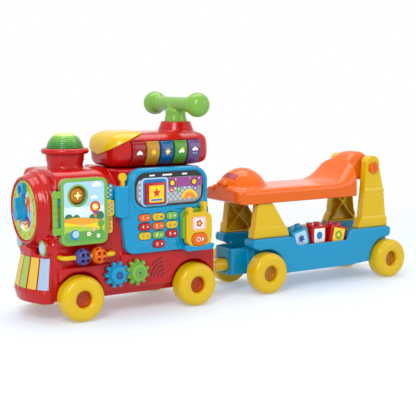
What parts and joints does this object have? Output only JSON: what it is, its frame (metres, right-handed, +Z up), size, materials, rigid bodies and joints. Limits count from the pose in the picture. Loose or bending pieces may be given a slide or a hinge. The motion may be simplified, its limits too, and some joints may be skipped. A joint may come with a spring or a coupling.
{
  "type": "ride-on toy train",
  "caption": "Ride-on toy train: engine with clock, book, gears, beads, telephone keypad, piano keys and T-handlebar, pulling a swivelling wagon with a lifting seat over a bin.",
  "frame": {"origin": "on the floor under the middle of the train's overall box", "axes": "+X along the train towards its rear, so the engine faces -X; +Y to the plain side; +Z up"},
  "size_m": [0.9478, 0.2234, 0.44],
  "materials": {
    "red_plastic": "glossy moulded plastic",
    "yellow_plastic": "glossy moulded plastic",
    "blue_plastic": "glossy moulded plastic",
    "green_plastic": "glossy moulded plastic",
    "orange_plastic": "glossy moulded plastic",
    "purple_plastic": "glossy moulded plastic",
    "green_lens": "translucent moulded plastic",
    "amber_lens": "translucent moulded plastic",
    "axle_steel": "bright drawn rod"
  },
  "bodies": {
    "engine": {"chassis": "red_plastic", "boiler_shell": "red_plastic", "cab_shell": "red_plastic", "smokestack": "red_plastic", "clock_dial": "yellow_plastic", "roof_shell": "red_plastic", "roof_cap": "yellow_plastic", "handlebar": "green_plastic", "phone_panel": "blue_plastic", "handset_cradle": "green_plastic", "book_hinge_pin": "axle_steel", "bead_rod": "yellow_plastic", "engine_axles": "axle_steel"},
    "wagon": {"drawbar": "yellow_plastic", "tub": "blue_plastic", "front_legs": "yellow_plastic", "rear_legs": "yellow_plastic", "seat_pivot_pins": "orange_plastic", "wagon_axles": "axle_steel", "red_blocks": "red_plastic", "yellow_blocks": "yellow_plastic", "blue_blocks": "blue_plastic"},
    "stack_dome": {"stack_dome": "green_lens"},
    "clock_hand": {"clock_hand": "blue_plastic"},
    "piano_key_1": {"piano_key_1": "red_plastic"},
    "piano_key_2": {"piano_key_2": "yellow_plastic"},
    "piano_key_3": {"piano_key_3": "blue_plastic"},
    "piano_key_4": {"piano_key_4": "green_plastic"},
    "piano_key_5": {"piano_key_5": "purple_plastic"},
    "number_key_0": {"number_key_0": "red_plastic"},
    "number_key_1": {"number_key_1": "orange_plastic"},
    "number_key_2": {"number_key_2": "yellow_plastic"},
    "number_key_3": {"number_key_3": "green_plastic"},
    "number_key_4": {"number_key_4": "red_plastic"},
    "number_key_5": {"number_key_5": "orange_plastic"},
    "number_key_6": {"number_key_6": "yellow_plastic"},
    "number_key_7": {"number_key_7": "yellow_plastic"},
    "number_key_8": {"number_key_8": "green_plastic"},
    "number_key_9": {"number_key_9": "red_plastic"},
    "handset": {"handset": "yellow_plastic"},
    "handset_button": {"handset_button": "orange_plastic"},
    "window_block": {"window_block": "red_plastic"},
    "signal_lever": {"signal_lever": "yellow_plastic"},
    "book_cover": {"book_cover": "green_plastic"},
    "book_page_front": {"book_page_front": "blue_plastic"},
    "book_page_back": {"book_page_back": "yellow_plastic"},
    "book_light": {"book_light": "amber_lens"},
    "bead_purple": {"bead_purple": "purple_plastic"},
    "bead_orange": {"bead_orange": "orange_plastic"},
    "gear_blue": {"gear_blue": "blue_plastic"},
    "gear_green": {"gear_green": "green_plastic"},
    "engine_wheel_front_left": {"engine_wheel_front_left": "yellow_plastic"},
    "engine_wheel_front_right": {"engine_wheel_front_right": "yellow_plastic"},
    "engine_wheel_rear_left": {"engine_wheel_rear_left": "yellow_plastic"},
    "engine_wheel_rear_right": {"engine_wheel_rear_right": "yellow_plastic"},
    "wagon_wheel_front_left": {"wagon_wheel_front_left": "yellow_plastic"},
    "wagon_wheel_front_right": {"wagon_wheel_front_right": "yellow_plastic"},
    "wagon_wheel_rear_left": {"wagon_wheel_rear_left": "yellow_plastic"},
    "wagon_wheel_rear_right": {"wagon_wheel_rear_right": "yellow_plastic"},
    "seat": {"seat": "orange_plastic"}
  },
  "joints": [
    {"name": "wagon_turn", "type": "hinge", "parent": "engine", "child": "wagon", "pos_m": [-0.04615, 0, 0.059], "axis": [0, 0, 1], "range_deg": [-25, 25]},
    {"name": "stack_dome_slide", "type": "slide", "parent": "engine", "child": "stack_dome", "axis": [0, 0, -1], "range_m": [0, 0.003], "stiffness_N_per_m": 500, "springref_m": -0.004},
    {"name": "clock_hand_turn", "type": "hinge", "parent": "engine", "child": "clock_hand", "pos_m": [-0.45385, 0, 0.213], "axis": [1, 0, 0], "continuous": true},
    {"name": "piano_key_1_slide", "type": "slide", "parent": "engine", "child": "piano_key_1", "axis": [0, 1, 0], "range_m": [0, 0.003], "stiffness_N_per_m": 300},
    {"name": "piano_key_2_slide", "type": "slide", "parent": "engine", "child": "piano_key_2", "axis": [0, 1, 0], "range_m": [0, 0.003], "stiffness_N_per_m": 300},
    {"name": "piano_key_3_slide", "type": "slide", "parent": "engine", "child": "piano_key_3", "axis": [0, 1, 0], "range_m": [0, 0.003], "stiffness_N_per_m": 300},
    {"name": "piano_key_4_slide", "type": "slide", "parent": "engine", "child": "piano_key_4", "axis": [0, 1, 0], "range_m": [0, 0.003], "stiffness_N_per_m": 300},
    {"name": "piano_key_5_slide", "type": "slide", "parent": "engine", "child": "piano_key_5", "axis": [0, 1, 0], "range_m": [0, 0.003], "stiffness_N_per_m": 300},
    {"name": "number_key_0_slide", "type": "slide", "parent": "engine", "child": "number_key_0", "axis": [0, 1, 0], "range_m": [0, 0.002], "stiffness_N_per_m": 300},
    {"name": "number_key_1_slide", "type": "slide", "parent": "engine", "child": "number_key_1", "axis": [0, 1, 0], "range_m": [0, 0.002], "stiffness_N_per_m": 300},
    {"name": "number_key_2_slide", "type": "slide", "parent": "engine", "child": "number_key_2", "axis": [0, 1, 0], "range_m": [0, 0.002], "stiffness_N_per_m": 300},
    {"name": "number_key_3_slide", "type": "slide", "parent": "engine", "child": "number_key_3", "axis": [0, 1, 0], "range_m": [0, 0.002], "stiffness_N_per_m": 300},
    {"name": "number_key_4_slide", "type": "slide", "parent": "engine", "child": "number_key_4", "axis": [0, 1, 0], "range_m": [0, 0.002], "stiffness_N_per_m": 300},
    {"name": "number_key_5_slide", "type": "slide", "parent": "engine", "child": "number_key_5", "axis": [0, 1, 0], "range_m": [0, 0.002], "stiffness_N_per_m": 300},
    {"name": "number_key_6_slide", "type": "slide", "parent": "engine", "child": "number_key_6", "axis": [0, 1, 0], "range_m": [0, 0.002], "stiffness_N_per_m": 300},
    {"name": "number_key_7_slide", "type": "slide", "parent": "engine", "child": "number_key_7", "axis": [0, 1, 0], "range_m": [0, 0.002], "stiffness_N_per_m": 300},
    {"name": "number_key_8_slide", "type": "slide", "parent": "engine", "child": "number_key_8", "axis": [0, 1, 0], "range_m": [0, 0.002], "stiffness_N_per_m": 300},
    {"name": "number_key_9_slide", "type": "slide", "parent": "engine", "child": "number_key_9", "axis": [0, 1, 0], "range_m": [0, 0.002], "stiffness_N_per_m": 300},
    {"name": "handset_slide", "type": "slide", "parent": "engine", "child": "handset", "axis": [0, 0, 1], "range_m": [0, 0.08]},
    {"name": "handset_button_slide", "type": "slide", "parent": "handset", "child": "handset_button", "axis": [0, 1, 0], "range_m": [0, 0.0015], "stiffness_N_per_m": 300},
    {"name": "window_block_slide", "type": "slide", "parent": "engine", "child": "window_block", "axis": [0, -1, 0], "range_m": [0, 0.045]},
    {"name": "signal_lever_turn", "type": "hinge", "parent": "engine", "child": "signal_lever", "pos_m": [-0.28335, 0, 0.2457], "axis": [0, -1, 0], "range_deg": [0, 20], "stiffness_Nm_per_rad": 0.05, "springref_deg": -11.46},
    {"name": "book_cover_turn", "type": "hinge", "parent": "engine", "child": "book_cover", "pos_m": [-0.42785, -0.0864, 0.215], "axis": [0, 0, -1], "range_deg": [0, 160]},
    {"name": "book_page_front_turn", "type": "hinge", "parent": "engine", "child": "book_page_front", "pos_m": [-0.42785, -0.0864, 0.215], "axis": [0, 0, -1], "range_deg": [0, 150.4]},
    {"name": "book_page_back_turn", "type": "hinge", "parent": "engine", "child": "book_page_back", "pos_m": [-0.42785, -0.0864, 0.215], "axis": [0, 0, -1], "range_deg": [0, 140.8]},
    {"name": "book_light_slide", "type": "slide", "parent": "engine", "child": "book_light", "axis": [0, 1, 0], "range_m": [0, 0.002], "stiffness_N_per_m": 300},
    {"name": "bead_purple_slide", "type": "slide", "parent": "engine", "child": "bead_purple", "axis": [1, 0, 0], "range_m": [-0.011, 0]},
    {"name": "bead_orange_turn", "type": "hinge", "parent": "engine", "child": "bead_orange", "pos_m": [-0.34085, -0.094, 0.127], "axis": [1, 0, 0], "continuous": true},
    {"name": "gear_blue_turn", "type": "hinge", "parent": "engine", "child": "gear_blue", "pos_m": [-0.29985, -0.0844, 0.084], "axis": [0, -1, 0], "continuous": true},
    {"name": "gear_green_turn", "type": "hinge", "parent": "engine", "child": "gear_green", "pos_m": [-0.25385, -0.0844, 0.084], "axis": [0, -1, 0], "continuous": true},
    {"name": "engine_wheel_front_left_turn", "type": "hinge", "parent": "engine", "child": "engine_wheel_front_left", "pos_m": [-0.37785, -0.091, 0.045], "axis": [0, 1, 0], "continuous": true},
    {"name": "engine_wheel_front_right_turn", "type": "hinge", "parent": "engine", "child": "engine_wheel_front_right", "pos_m": [-0.37785, 0.091, 0.045], "axis": [0, 1, 0], "continuous": true},
    {"name": "engine_wheel_rear_left_turn", "type": "hinge", "parent": "engine", "child": "engine_wheel_rear_left", "pos_m": [-0.11815, -0.091, 0.045], "axis": [0, 1, 0], "continuous": true},
    {"name": "engine_wheel_rear_right_turn", "type": "hinge", "parent": "engine", "child": "engine_wheel_rear_right", "pos_m": [-0.11815, 0.091, 0.045], "axis": [0, 1, 0], "continuous": true},
    {"name": "wagon_wheel_front_left_turn", "type": "hinge", "parent": "wagon", "child": "wagon_wheel_front_left", "pos_m": [0.07785, -0.079, 0.045], "axis": [0, 1, 0], "continuous": true},
    {"name": "wagon_wheel_front_right_turn", "type": "hinge", "parent": "wagon", "child": "wagon_wheel_front_right", "pos_m": [0.07785, 0.079, 0.045], "axis": [0, 1, 0], "continuous": true},
    {"name": "wagon_wheel_rear_left_turn", "type": "hinge", "parent": "wagon", "child": "wagon_wheel_rear_left", "pos_m": [0.42885, -0.079, 0.045], "axis": [0, 1, 0], "continuous": true},
    {"name": "wagon_wheel_rear_right_turn", "type": "hinge", "parent": "wagon", "child": "wagon_wheel_rear_right", "pos_m": [0.42885, 0.079, 0.045], "axis": [0, 1, 0], "continuous": true},
    {"name": "seat_turn", "type": "hinge", "parent": "wagon", "child": "seat", "pos_m": [0.38985, 0, 0.2598], "axis": [0, 1, 0], "range_deg": [0, 100]}
  ],
  "couplings": [
    {"joint": "book_page_front_turn", "follows": "book_cover_turn", "ratio": 0.94},
    {"joint": "book_page_back_turn", "follows": "book_cover_turn", "ratio": 0.88},
    {"joint": "gear_green_turn", "follows": "gear_blue_turn", "ratio": -1}
  ]
}
